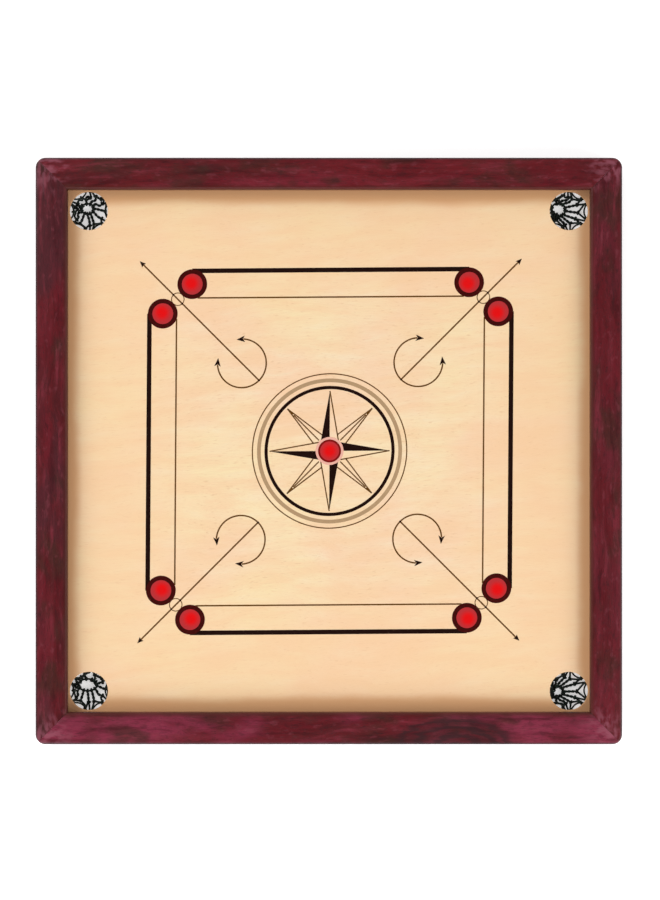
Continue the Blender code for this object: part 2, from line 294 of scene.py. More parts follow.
def rail_material(side, turn, offset, warmth, flame=None):
    """Stained, satin-varnished hardwood with its grain along the rail.

    warmth is how red the stain took, and flame the foot of an arch of dark grain.
    """
    g = Graph(f"stained_hardwood_{side}")
    place = g.place()
    along = g.add("Mapping", {"Vector": place, "Rotation": (0, 0, turn)})
    along = g.add("Mapping", {"Vector": along, "Location": offset})
    bent = g.sway(along, g.noise(along, 9), RAIL_SWAY)
    figure = g.grain(bent, 5, 36, 5, 0.6)
    streak = g.grain(bent, 16, 130, 4, 0.6)
    mottle = g.grain(bent, 90, 190, 3)
    patch = g.grain(along, 10, 26, 3)
    cloud = g.grain(along, 22, 40, 2)
    fibre = g.grain(bent, 60, 1500)
    pores = g.between(g.grain(bent, 180, 2200, 1), 0.60, 0.72)
    base = g.ramp(
        figure,
        (0.34, srgb(64, 14, 18)),
        (0.47, srgb(96, 18, 26)),
        (0.60, srgb(108, 22, 34)),
        (0.74, srgb(124, 32, 46)),
    )
    base = g.tints(
        base,
        (patch, 0.40, 0.62, 0.75, warmth),
        (cloud, 0.50, 0.30, 0.7, srgb(66, 34, 26)),
        (streak, 0.54, 0.72, 0.55, srgb(134, 40, 56)),
        (streak, 0.46, 0.30, 0.55, srgb(58, 16, 20)),
        (mottle, 0.55, 0.75, 0.35, srgb(138, 62, 74)),
        (mottle, 0.45, 0.28, 0.35, srgb(50, 16, 20)),
    )
    if flame is not None:
        reach = (1 / FLAME_LENGTH, 1 / FLAME_WIDTH)
        foot = (-flame[0] * reach[0], -flame[1] * reach[1], 0)
        arch = g.add("Mapping", {"Vector": place, "Scale": (*reach, 0), "Location": foot})
        arch = g.add("VectorMath", {0: arch}, operation="LENGTH", output=1)
        arch = g.maths("ADD", arch, g.maths("MULTIPLY", streak, 0.5))
        ripple = g.maths("SINE", g.maths("MULTIPLY", arch, FLAME_RIPPLES))
        ripple = g.between(ripple, -1, 1, 0.45, 0.85)
        inside = g.maths("MULTIPLY", g.between(arch, 1.3, 0.95), ripple)
        base = g.mix(inside, base, srgb(50, 24, 28))
    base = g.tints(base, (fibre, 0.35, 0.65, 0.2, srgb(44, 14, 18)))
    base = g.mix(g.maths("MULTIPLY", pores, 0.6), base, srgb(28, 8, 12))
    x, y, _ = g.axes(place)
    x = g.maths("ABSOLUTE", x)
    y = g.maths("ABSOLUTE", y)
    corner = g.weigh(g.maths("MINIMUM", x, y), 1, cloud, CORNER_TINT_WANDER)
    corner = g.between(corner, *CORNER_TINT)
    corner = g.maths("MULTIPLY", corner, g.between(mottle, 0.40, 0.62, 0, 0.5))
    base = g.mix(corner, base, srgb(160, 92, 108))
    reach = g.maths("MAXIMUM", x, y)
    # Painted shade along the inner and outer roundings, the inner band with a painted brown
    # reflection of the bed.
    base = g.tints(
        base,
        (reach, *INNER_PAINTED_SHADE, 0.65, srgb(80, 28, 18)),
        (reach, *OUTER_PAINTED_SHADE, 0.75, srgb(40, 20, 28)),
    )
    roughness = g.between(streak, 0.3, 0.7, 0.36, 0.52)
    height = g.weigh(streak, 0.35, fibre, 0.2)
    height = g.maths("SUBTRACT", height, g.maths("MULTIPLY", pores, 0.5))
    return g.finish(
        base,
        roughness,
        g.bump(height, 0.2 * MM, 0.5),
        Specular_IOR_Level=0.25,
        Coat_Weight=0.06,
        Coat_Roughness=0.3,
    )


BED_GRAIN_TURN = math.radians(-4)
BED_SWAY = 50 * MM
TWO_PLIES = 2.4 * MM

# Tints towards the bed's edges: where each one starts, and where it is full. The outer one is
# painted shade, a darker band where the rails shade the bed. Both lie further out at the left and
# right.
AGED = (HALF_OPENING - 200 * MM, HALF_OPENING - 40 * MM)
PAINTED_RAIL_SHADE = (HALF_OPENING - 22 * MM, HALF_OPENING - 8.5 * MM)
SIDES_FURTHER_OUT = 5 * MM
EDGE_TINT_WANDER = 14 * MM


def bed_material():
    """Figured birch-faced plywood, lacquered on top, its plies showing in the holes."""
    g = Graph("birch_plywood")
    place = g.place()
    x, y, z = g.axes(place)
    tilted = g.add("Mapping", {"Vector": place, "Rotation": (0, 0, BED_GRAIN_TURN)})
    bent = g.sway(tilted, g.grain(tilted, 4, 7, 3), BED_SWAY)
    cloud = g.grain(bent, 9, 14, 3)
    figure = g.grain(bent, 14, 70, 4, 0.6)
    fleck = g.grain(bent, 120, 700)
    fibre = g.grain(bent, 40, 1800)
    face = g.ramp(
        cloud,
        (0.30, srgb(255, 233, 186)),
        (0.48, srgb(255, 227, 186)),
        (0.62, srgb(255, 220, 184)),
        (0.78, srgb(255, 214, 176)),
    )
    face = g.tints(
        face,
        (figure, 0.40, 0.66, 0.5, srgb(252, 208, 162)),
        (figure, 0.44, 0.28, 0.4, srgb(255, 238, 206)),
        (fleck, 0.60, 0.74, 0.35, srgb(222, 170, 118)),
        (fibre, 0.40, 0.70, 0.12, srgb(216, 168, 118)),
    )

    aside = g.maths("SUBTRACT", g.maths("ABSOLUTE", x), SIDES_FURTHER_OUT)
    reach = g.maths("MAXIMUM", aside, g.maths("ABSOLUTE", y))
    wander = g.maths("MULTIPLY", g.maths("SUBTRACT", cloud, 0.5), EDGE_TINT_WANDER)
    edge = g.maths("ADD", reach, wander)
    # Towards the edges the face ages, and close to the rails it darkens with painted shade from
    # the rails.
    face = g.tints(
        face,
        (edge, *AGED, 0.5, srgb(255, 212, 164)),
        (edge, *PAINTED_RAIL_SHADE, 0.85, srgb(228, 170, 118)),
    )

    ply = g.maths("DIVIDE", g.maths("SUBTRACT", z, BED_UNDERSIDE), TWO_PLIES)
    ply = g.maths("FRACT", ply)
    ply_edge = g.mix(g.between(ply, 0.48, 0.52), srgb(214, 170, 120), srgb(150, 104, 66))
    raw = g.mix(figure, srgb(205, 168, 124), srgb(176, 134, 92))
    normal = g.axes(g.add("NewGeometry", {}, output="Normal"))[2]
    colour = g.mix(g.between(normal, 0.4, 0.6), ply_edge, face)
    colour = g.mix(g.between(normal, -0.4, -0.6), colour, raw)
    roughness = g.between(figure, 0.3, 0.7, 0.30, 0.40)
    height = g.weigh(figure, 0.4, fibre, 0.1)
    return g.finish(
        colour,
        roughness,
        g.bump(height, 0.12 * MM, 0.4),
        Specular_IOR_Level=0.35,
        Coat_Weight=0.2,
        Coat_Roughness=0.22,
    )


BATTEN_SWAY = 30 * MM


def batten_material(name, turn):
    """Sawn pine, unfinished, with its grain along the batten."""
    g = Graph(f"sawn_pine_{name}")
    place = g.place()
    along = g.add("Mapping", {"Vector": place, "Rotation": (0, 0, turn)})
    along = g.add("Mapping", {"Vector": along, "Location": (turn, 0.3, 0.1)})
    bent = g.sway(along, g.noise(along, 5), BATTEN_SWAY)
    rings = g.grain(bent, 3, 260, 3)
    saw = g.grain(along, 900, 12)
    fibre = g.grain(bent, 60, 2000)
    wood = g.ramp(
        rings,
        (0.35, srgb(226, 190, 140)),
        (0.52, srgb(212, 170, 116)),
        (0.64, srgb(182, 128, 76)),
        (0.72, srgb(214, 174, 122)),
    )
    wood = g.tints(wood, (fibre, 0.4, 0.7, 0.3, srgb(168, 124, 80)))
    height = g.weigh(saw, 0.5, fibre, 0.3)
    return g.finish(
        wood,
        g.between(rings, 0.3, 0.7, 0.62, 0.78),
        g.bump(height, 0.3 * MM, 0.6),
        Specular_IOR_Level=0.3,
    )


def glue_material():
    """Wood glue stained by the finish, with sanding dust set in it."""
    g = Graph("mitre_glue")
    dust = g.noise(g.place(), 700, 3, 0.6)
    colour = g.mix(g.between(dust, 0.4, 0.7), srgb(52, 18, 20), srgb(84, 36, 38))
    return g.finish(colour, g.between(dust, 0.3, 0.7, 0.5, 0.7), g.bump(dust, 0.1 * MM, 0.5))


def metal_material(name, bright, dull, roughness):
    """Drawn wire with faint scratches and spots where it has dulled."""
    g = Graph(name)
    place = g.place()
    spots = g.noise(place, 900, 3, 0.6)
    scratches = g.noise(g.add("Mapping", {"Vector": place, "Scale": (400, 5000, 900)}), 1, 2)
    colour = g.mix(g.between(spots, 0.42, 0.66), bright, dull)
    rough = g.between(spots, 0.35, 0.7, roughness, roughness + 0.25)
    return g.finish(colour, rough, g.bump(scratches, 0.03 * MM, 0.5), Metallic=1.0)


FRONT_FLAME = (140 * MM, -HALF_BOARD)
RAIL_LOOKS = {
    "front": rail_material("front", 0, (0.4, 0.1, 0), srgb(146, 50, 76), FRONT_FLAME),
    "right": rail_material("right", math.pi / 2, (2.3, 0.7, 0), srgb(102, 28, 40)),
    "back": rail_material("back", 0, (5.1, 1.9, 0), srgb(112, 22, 30)),
    "left": rail_material("left", math.pi / 2, (7.7, 3.1, 0), srgb(76, 30, 38)),
}
GLUE_LOOK = glue_material()
BED_LOOK = bed_material()
BATTEN_LOOKS = {
    "across": batten_material("across", 0),
    "along": batten_material("along", math.pi / 2),
}
NAIL_LOOK = metal_material("nail_wire", srgb(186, 184, 178), srgb(120, 112, 100), 0.32)
TACK_LOOK = metal_material("blued_tack", srgb(70, 76, 88), srgb(44, 42, 44), 0.35)


def look_of(node):
    if node.startswith("rail_"):
        return RAIL_LOOKS[node.removeprefix("rail_")]
    if node in ("batten_across", "batten_along"):
        return BATTEN_LOOKS[node.removeprefix("batten_")]
    if node == "playing_bed":
        return BED_LOOK
    return TACK_LOOK if node.startswith("net_tack") else NAIL_LOOK


# CAD nodes ----------------------------------------------------------


SHARP_ANGLE = math.radians(32)


def smoothing_group():
    """Geometry nodes that shade smooth all but the sharp edges."""
    group = bpy.data.node_groups.new("smooth_by_angle", "GeometryNodeTree")
    group.interface.new_socket("Geometry", in_out="INPUT", socket_type="NodeSocketGeometry")
    group.interface.new_socket("Geometry", in_out="OUTPUT", socket_type="NodeSocketGeometry")
    nodes = group.nodes
    entry = nodes.new("NodeGroupInput")
    leave = nodes.new("NodeGroupOutput")
    faces = nodes.new("GeometryNodeSetShadeSmooth")
    edges = nodes.new("GeometryNodeSetShadeSmooth")
    edges.domain = "EDGE"
    edges.inputs["Shade Smooth"].default_value = False
    angle = nodes.new("GeometryNodeInputMeshEdgeAngle")
    sharp = nodes.new("FunctionNodeCompare")
    sharp.operation = "GREATER_THAN"
    sharp.inputs["B"].default_value = SHARP_ANGLE
    link = group.links.new
    link(entry.outputs[0], faces.inputs["Geometry"])
    link(faces.outputs[0], edges.inputs["Geometry"])
    link(angle.outputs[0], sharp.inputs["A"])
    link(sharp.outputs[0], edges.inputs["Selection"])
    link(edges.outputs[0], leave.inputs[0])
    return group


SMOOTHING = smoothing_group()
WELD_DISTANCE = 0.001 * MM


def dress_nodes():
    """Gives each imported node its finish, and round faces smooth shading."""
    for name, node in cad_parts.items():
        if name.startswith("pocket_net"):
            continue
        node.data.materials.clear()
        node.data.materials.append(look_of(name))
        weld = node.modifiers.new("weld", "WELD")
        weld.merge_threshold = WELD_DISTANCE
        smooth = node.modifiers.new("smooth", "NODES")
        smooth.node_group = SMOOTHING


dress_nodes()


def add_piece(mesh, look):
    """A new piece of the board, which takes its name from its mesh."""
    mesh.materials.append(look)
    piece = new_object(mesh.name, mesh)
    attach(piece, "root")
    return piece


# Glue in the mitres -------------------------------------------------
# The last four sizes are part.py's own: the rabbet, its gap and the rails' roundings.

GLUE_THICKNESS = 0.29 * MM
GLUE_INSET = 0.15 * MM
BED_HOUSING = 8 * MM
BED_PLAY = 0.3 * MM
CORNER_RADIUS = 11 * MM
EDGE_ROUNDING = 3 * MM


def make_glue_lines():
    """The dark film of glue that closes each mitre, just inside the rails' faces."""
    inner = HALF_OPENING + GLUE_INSET
    housing = inner + BED_HOUSING
    outer = HALF_BOARD - CORNER_RADIUS * (1 - math.sqrt(0.5)) - GLUE_INSET
    low = FLOOR + GLUE_INSET
    high = BOARD_HIGH.z - GLUE_INSET
    shelf = BED_TOP + BED_PLAY + GLUE_INSET
    outline = (
        (housing, low),
        (outer - EDGE_ROUNDING / 2, low),
        (outer, low + EDGE_ROUNDING / 2),
        (outer, high - EDGE_ROUNDING),
        (outer - EDGE_ROUNDING / 4, high - EDGE_ROUNDING / 3),
        (outer - EDGE_ROUNDING, high),
        (inner + EDGE_ROUNDING, high),
        (inner + EDGE_ROUNDING / 4, high - EDGE_ROUNDING / 3),
        (inner, high - EDGE_ROUNDING),
        (inner, shelf),
        (housing, shelf),
    )
    aside = GLUE_THICKNESS / 2 / math.sqrt(2)
    for name, (across, along) in CORNERS.items():
        bm = bmesh.new()
        sheets = []
        for side in (-1, 1):
            shift = Vector((-along, across, 0)) * side * aside
            sheet = [
                bm.verts.new(Vector((reach * across, reach * along, z)) + shift)
                for reach, z in outline
            ]
            sheets.append(sheet)
            bm.faces.new(sheet)
        count = len(outline)
        for i in range(count):
            j = (i + 1) % count
            bm.faces.new((sheets[0][i], sheets[0][j], sheets[1][j], sheets[1][i]))
        bmesh.ops.recalc_face_normals(bm, faces=bm.faces)
        mesh = bpy.data.meshes.new(f"mitre_glue_{name}")
        bm.to_mesh(mesh)
        bm.free()
        add_piece(mesh, GLUE_LOOK)


make_glue_lines()


# Printed marks ------------------------------------------------------

INK_THICKNESS = 0.06 * MM
INK_SUNK = 0.03 * MM
INK_LAYER = 0.03 * MM

PRINT_ASIDE = 0.8 * MM
PRINT_SKEW = 0.0068

# Places and sizes about the board's middle. A head is its length, its width and its notch.
THIN_LINE = 1.7 * MM
BASE_LINE = 5.2 * MM
BASE_LINE_OUT = 204.5 * MM
INNER_LINE_OUT = 173.9 * MM
INNER_LINE_SHORTER = 6 * MM
CIRCLE_OUT = 189.5 * MM
CIRCLE_ALONG = 156.4 * MM
CIRCLE_RADIUS = 16.8 * MM
CIRCLE_FILL = 11.8 * MM
CIRCLE_CORE = 3 * MM
LINK_OUT = 172.6 * MM
LINK_RADIUS = 7.1 * MM
ARROW_INNER = 80.2 * MM
ARROW_OUTER = 215.8 * MM
ARC_OUT = 99.7 * MM
ARC_RADIUS = 27.5 * MM
ARC_HALF_SWEEP = math.radians(132)
ARC_HEAD = (9.6 * MM, 7.2 * MM, 2.6 * MM)
ARC_HEAD_BEYOND = 0.8
ARROW_HEAD = (7.0 * MM, 6.0 * MM, 1.2 * MM)
LINK_LINE = 1.0 * MM
DOT_RADIUS = 1.1 * MM
STAR_TIP = 67.8 * MM
STAR_WAIST = 14.4 * MM
BACK_STAR_WAIST = 11.7 * MM
BACK_STAR_HIDDEN = 0.18
STAR_LINE = 1.4 * MM
STAR_HEAD = (9 * MM, 2.2 * MM, 0.2 * MM)
STAR_RIB = (0.25, 0.85)
DISC_RADIUS = 13.0 * MM
DISC_RIM = 2.2 * MM
HALO_RADIUS = 15.8 * MM
RINGS = (
    ("black", "black", 71.7 * MM, 3.7 * MM),
    ("tan", "tan", 79.8 * MM, 4.2 * MM),
    ("fine", "brown", 87.2 * MM, 1.3 * MM),
)
ROUND_STEP = 1.2 * MM
ARC_LEAST_STEPS = 24
DISC_LEAST_STEPS = 20


def from_circle_middles(g, place):
    """How far a place on the bed lies from the middle of the nearest printed circle."""
    x, y, _ = g.axes(place)
    x = g.maths("ABSOLUTE", g.maths("SUBTRACT", x, PRINT_ASIDE))
    y = g.maths("ABSOLUTE", y)
    out = g.maths("SUBTRACT", g.maths("MAXIMUM", x, y), CIRCLE_OUT)
    side = g.maths("SUBTRACT", g.maths("MINIMUM", x, y), CIRCLE_ALONG)
    reaches = []
    for a, b in ((x, y), (out, side)):
        squares = g.maths("ADD", g.maths("MULTIPLY", a, a), g.maths("MULTIPLY", b, b))
        reaches.append(g.maths("SQRT", squares))
    return g.maths("MINIMUM", *reaches)


def ink_material(name, colour, worn, rim=None):
    """Screen-printed ink under lacquer, thinner in small spots.

    rim is the colour that a filled circle fades to at its edge.
    """
    g = Graph(name)
    place = g.place()
    thin = g.noise(place, 420, 4, 0.6)
    broad = g.noise(place, 24, 2)
    share = g.maths("MULTIPLY", g.between(thin, 0.50, 0.78), g.between(broad, 0.3, 0.7, 0.2, 0.6))
    tone = colour
    if rim is not None:
        out = g.between(from_circle_middles(g, place), CIRCLE_CORE, CIRCLE_FILL)
        tone = g.mix(out, colour, rim)
    tone = g.mix(share, tone, worn)
    rough = g.between(thin, 0.3, 0.7, 0.4, 0.54)
    return g.finish(tone, rough, g.bump(thin, 0.03 * MM, 0.4), Specular_IOR_Level=0.12)


INKS = {
    "black": ink_material("ink_black", srgb(26, 4, 0), srgb(52, 26, 14)),
    "brown": ink_material("ink_brown", srgb(98, 62, 18), srgb(132, 96, 48)),
    "tan": ink_material("ink_tan", srgb(180, 148, 112), srgb(204, 172, 134)),
    "red": ink_material("ink_red", srgb(232, 10, 14), srgb(206, 20, 26), srgb(184, 50, 54)),
    "rim": ink_material("ink_rim", srgb(62, 4, 2), srgb(96, 16, 12)),
    "maroon": ink_material("ink_maroon", srgb(126, 14, 10), srgb(150, 30, 24)),
    "blush": ink_material("ink_blush", srgb(240, 180, 162), srgb(232, 168, 148)),
}


def prism(bm, outline, low, high):
    """A flat plate over a convex or mildly notched outline, anticlockwise from above."""
    under = [bm.verts.new((x, y, low)) for x, y in outline]
    over = [bm.verts.new((x, y, high)) for x, y in outline]
    bm.faces.new(over)
    bm.faces.new(list(reversed(under)))
    count = len(outline)
    for i in range(count):
        j = (i + 1) % count
        bm.faces.new((under[i], under[j], over[j], over[i]))


def band(bm, right, left, closed, low, high):
    """A flat strip between two rows of points, its right and its left edge."""
    stations = []
    for (rx, ry), (lx, ly) in zip(right, left):
        corners = ((rx, ry, low), (lx, ly, low), (lx, ly, high), (rx, ry, high))
        stations.append([bm.verts.new(corner) for corner in corners])
    count = len(stations)
    for i in range(count if closed else count - 1):
        here = stations[i]
        there = stations[(i + 1) % count]
        for k in range(4):
            m = (k + 1) % 4
            bm.faces.new((here[k], there[k], there[m], here[m]))
    if not closed:
        bm.faces.new(stations[0])
        bm.faces.new(list(reversed(stations[-1])))


class Print:
    """The marks of one ink on one layer, in one piece.

    The whole print sits a little to one side on the bed, and a little out of square.
    """

    def __init__(self, name, ink, layer=0):
        self.name = name
        self.ink = ink
        self.bm = bmesh.new()
        self.low = BED_TOP - INK_SUNK
        self.high = BED_TOP + INK_THICKNESS + layer * INK_LAYER

    def plate(self, outline):
        prism(self.bm, outline, self.low, self.high)

    def stroke(self, start, end, width):
        """A straight line with square ends."""
        start = Vector(start)
        end = Vector(end)
        aside = (end - start).orthogonal().normalized() * width / 2
        right = [start - aside, end - aside]
        left = [start + aside, end + aside]
        band(self.bm, right, left, False, self.low, self.high)

    def arc(self, centre, radius, width, start=0.0, end=math.tau):
        """A band along a circle, closed when it goes all the way round."""
        closed = end - start >= math.tau
        steps = max(ARC_LEAST_STEPS, math.ceil((end - start) * radius / ROUND_STEP))
        angles = [start + (end - start) * i / steps for i in range(steps if closed else steps + 1)]
        x, y = centre
        edges = [
            [(x + reach * math.cos(a), y + reach * math.sin(a)) for a in angles]
            for reach in (radius + width / 2, radius - width / 2)
        ]
        band(self.bm, *edges, closed, self.low, self.high)

    def disc(self, centre, radius):
        steps = max(DISC_LEAST_STEPS, math.ceil(math.tau * radius / ROUND_STEP))
        angles = [math.tau * i / steps for i in range(steps)]
        x, y = centre
        self.plate([(x + radius * math.cos(a), y + radius * math.sin(a)) for a in angles])

    def arrowhead(self, tip, along, length, width, notch):
        """A barbed head whose point is at tip."""
        tip = Vector(tip)
        along = Vector(along).normalized()
        aside = Vector((-along.y, along.x)) * width / 2
        back = tip - along * length
        heart = tip - along * (length - notch)
        for barb in ([tip, back + aside, heart], [tip, heart, back - aside]):
            self.plate(barb)

    def finish(self):
        mesh = bpy.data.meshes.new(self.name)
        bmesh.ops.recalc_face_normals(self.bm, faces=self.bm.faces)
        for vert in self.bm.verts:
            x, y, z = vert.co
            vert.co = (x + PRINT_SKEW * y + PRINT_ASIDE, y + PRINT_SKEW * x, z)
        self.bm.to_mesh(mesh)
        self.bm.free()
        add_piece(mesh, INKS[self.ink])


def quarter(point, turns):
    """A point on the bed turned by quarter turns about the board's middle."""
    x, y = point
    for _ in range(turns % 4):
        x, y = -y, x
    return (x, y)


def polar(reach, angle):
    return Vector((math.cos(angle), math.sin(angle))) * reach


def print_base_lines():
    """The paired lines along each side, and the red circles at their ends."""
    heavy = Print("mark_base_lines", "black")
    light = Print("mark_inner_lines", "brown")
    rims = Print("mark_base_circle_rims", "rim", 2)
    fills = Print("mark_base_circles", "red", 1)
    rim_width = CIRCLE_RADIUS - CIRCLE_FILL + INK_LAYER
    for turns in range(4):
        for out, reach, width, ink in (
            (BASE_LINE_OUT, CIRCLE_ALONG, BASE_LINE, heavy),
            (INNER_LINE_OUT, CIRCLE_ALONG - INNER_LINE_SHORTER, THIN_LINE, light),
        ):
            ends = [quarter((side * reach, -out), turns) for side in (-1, 1)]
            ink.stroke(*ends, width)
        for side in (-1, 1):
            spot = quarter((side * CIRCLE_ALONG, -CIRCLE_OUT), turns)
            fills.disc(spot, CIRCLE_FILL)
            rims.arc(spot, CIRCLE_RADIUS - rim_width / 2, rim_width)
    for ink in (heavy, light, rims, fills):
        ink.finish()


def print_diagonals():
    """The shooting arrows, the small circles they cross, and their curled arcs."""
    lines = Print("mark_diagonals", "brown", 1)
    heads = Print("mark_arrowheads", "black", 2)
    links = Print("mark_link_circles", "brown")
    arcs = Print("mark_arcs", "brown")
    for turns in range(4):
        shaft_end = ARROW_OUTER - ARROW_HEAD[0] / 2
        ends = [quarter((reach, reach), turns) for reach in (ARROW_INNER, shaft_end)]
        lines.stroke(*ends, THIN_LINE)
        outward = quarter((1, 1), turns)
        tip = quarter((ARROW_OUTER, ARROW_OUTER), turns)
        heads.arrowhead(tip, outward, *ARROW_HEAD)
        links.arc(quarter((LINK_OUT, LINK_OUT), turns), LINK_RADIUS, LINK_LINE)
        crossing = LINK_RADIUS / math.sqrt(2)
        for reach in (LINK_OUT - crossing, LINK_OUT + crossing, ARROW_INNER):
            heads.disc(quarter((reach, reach), turns), DOT_RADIUS)
        centre = Vector(quarter((ARC_OUT, ARC_OUT), turns))
        open_towards = math.pi / 4 + turns * math.pi / 2
        start = open_towards + math.pi - ARC_HALF_SWEEP
        end = open_towards + math.pi + ARC_HALF_SWEEP
        arcs.arc(centre, ARC_RADIUS, THIN_LINE, start, end)
        for angle, way in ((start, -1), (end, 1)):
            ahead = angle + way * ARC_HEAD[0] * ARC_HEAD_BEYOND / ARC_RADIUS
            tip = centre + polar(ARC_RADIUS, ahead)
            back = centre + polar(ARC_RADIUS, angle)
            heads.arrowhead(tip, tip - back, *ARC_HEAD)
    for ink in (lines, heads, links, arcs):
        ink.finish()


def print_star():
    """Two crossed four-pointed stars: one half black, and behind it one in outline."""
    solid = Print("mark_star_points", "black", 1)
    tips = Print("mark_star_tips", "brown", 1)
    drawn = Print("mark_star_outlines", "brown")
    for turns in range(4):
        angle = math.pi / 2 + turns * math.pi / 2
        tip = polar(STAR_TIP, angle)
        after = polar(STAR_WAIST, angle + math.pi / 4)
        before = polar(STAR_WAIST, angle - math.pi / 4)
        solid.plate([(0, 0), tip, after])
        drawn.stroke(before, tip, STAR_LINE)
        angle += math.pi / 4
        tip = polar(STAR_TIP, angle)
        for side in (-1, 1):
            waist = polar(BACK_STAR_WAIST, angle + side * math.pi / 4)
            hidden = (waist - tip) * BACK_STAR_HIDDEN
            drawn.stroke(waist - hidden, tip, STAR_LINE)
        drawn.stroke(*(tip * share for share in STAR_RIB), STAR_LINE)
        tips.arrowhead(tip, tip, *STAR_HEAD)
    for ink in (solid, tips, drawn):
        ink.finish()


def print_centre():
    """The rings round the star, and the rimmed disc in its pale halo."""
    for name, ink, radius, width in RINGS:
        ring = Print(f"mark_ring_{name}", ink)
        ring.arc((0, 0), radius, width)
        ring.finish()
    for name, ink, layer, radius in (
        ("halo", "blush", 2, HALO_RADIUS),
        ("disc", "red", 3, DISC_RADIUS),
    ):
        spot = Print(f"mark_centre_{name}", ink, layer)
        spot.disc((0, 0), radius)
        spot.finish()
    rim = Print("mark_centre_rim", "maroon", 4)
    rim.arc((0, 0), DISC_RADIUS - DISC_RIM / 2, DISC_RIM)
    rim.finish()


print_base_lines()
print_diagonals()
print_star()
print_centre()


# Pocket nets --------------------------------------------------------
# Lengths in this section are in millimetres, about a pocket's middle on the floor.
# A rim cord goes round the tacks. Each mesh hangs from it on two legs, single cords that
# meet in a knot, and a spoke, a twisted pair, runs on from the knot to a gathered ring.

CORD_RADIUS = 1.3
PAIR_RADIUS = 1.65
KNOT_RADIUS = 2.3
RIM_CORD_RADIUS = 1.1
HOLE_RADIUS = 21.6
TACK_SHANK_RADIUS = 0.35
TACKS = 6
CORD_PLAY = 0.08
EYE_REACH = 1.6
RIM_SPAN = 27.2
RIM_SAG = 0.8
LEG_LENGTH = 15.5
SPOKE_LENGTH = 13.5
MESHES = 11
RING_PLACES = 4 * MESHES
LINK = 1.5
LEAST_LINKS = 3
RING_LIFT = 0.1
RING_HEIGHT = EYE_REACH + CORD_RADIUS + RING_LIFT
NET_REACH = 23.4
HANG_REACH = 23.8

# How the cords start, before they drop. A spread is how far chance moves a start, and
# the tack turns are where the rim cord bends round a tack, in degrees from straight out.
TACK_TURNS = (-75, -40, 0, 40, 75)
BOW_POINTS = 41
BOW_HALVINGS = 30
HANG_START = 0.3
HANG_SPREAD = 0.12
KNOT_IN = 9.0
KNOT_SPREAD = 1.5
KNOT_LIFT = 1
RING_CLEARANCE = 1
LEG_SPREAD = 0.4
LEG_SAG = (0, 0, -0.3)
SPOKE_RISE = (0, 0, 0.45)

# How they settle: the steps, the rounds in each, and how firmly each rule is kept.
STEPS = 150
ROUNDS = 30
WEIGHT = 0.05
LENGTH_PULL = 1.5
BEND_NEXT = 1.93
BEND_AFTER = 2.7
TOUCH_RANGE = 2
TOUCH_PUSH = 0.6
TOUCH_MOST = 0.25
BED_GAP = 0.1
DAMPING = 0.85
FLOOR_DRAG = 0.5
FLOOR_RANGE = 0.05
TOP_SPEED = 0.6
TINY = 1e-9

# Where each net's gathered ring came to rest, its length and width, and the lay's seed.
NET_LAYS = {
    "back_left": ((-2.7, 3.5), (15.0, 11.5), 13),
    "back_right": ((-10.8, 2.4), (16.0, 15.0), 5),
    "front_left": ((-2.5, 5.8), (21.5, 13.5), 13),
    "front_right": ((-12.2, -1.7), (14.5, 12.5), 5),
}


def along_path(path):
    """How far along the path each of its points lies."""
    return np.r_[0, np.cumsum(np.linalg.norm(np.diff(path, axis=0), axis=1))]


def evenly(path, count):
    """The same path with count equal steps."""
    reach = along_path(path)
    at = np.linspace(0, reach[-1], count + 1)
    return np.column_stack([np.interp(at, reach, column) for column in path.T])


def bowed(start, end, length, bow):
    """A path of a given length between two points, bowed out towards bow."""
    share = np.linspace(0, 1, BOW_POINTS)[:, None]
    straight = start + (end - start) * share
    wave = np.sin(np.pi * share) * np.asarray(bow, float)
    low, high = 0.0, length
    for _ in range(BOW_HALVINGS):
        middle = (low + high) / 2
        if along_path(straight + wave * middle)[-1] < length:
            low = middle
        else:
            high = middle
    return evenly(straight + wave * low, max(LEAST_LINKS, round(length / LINK)))


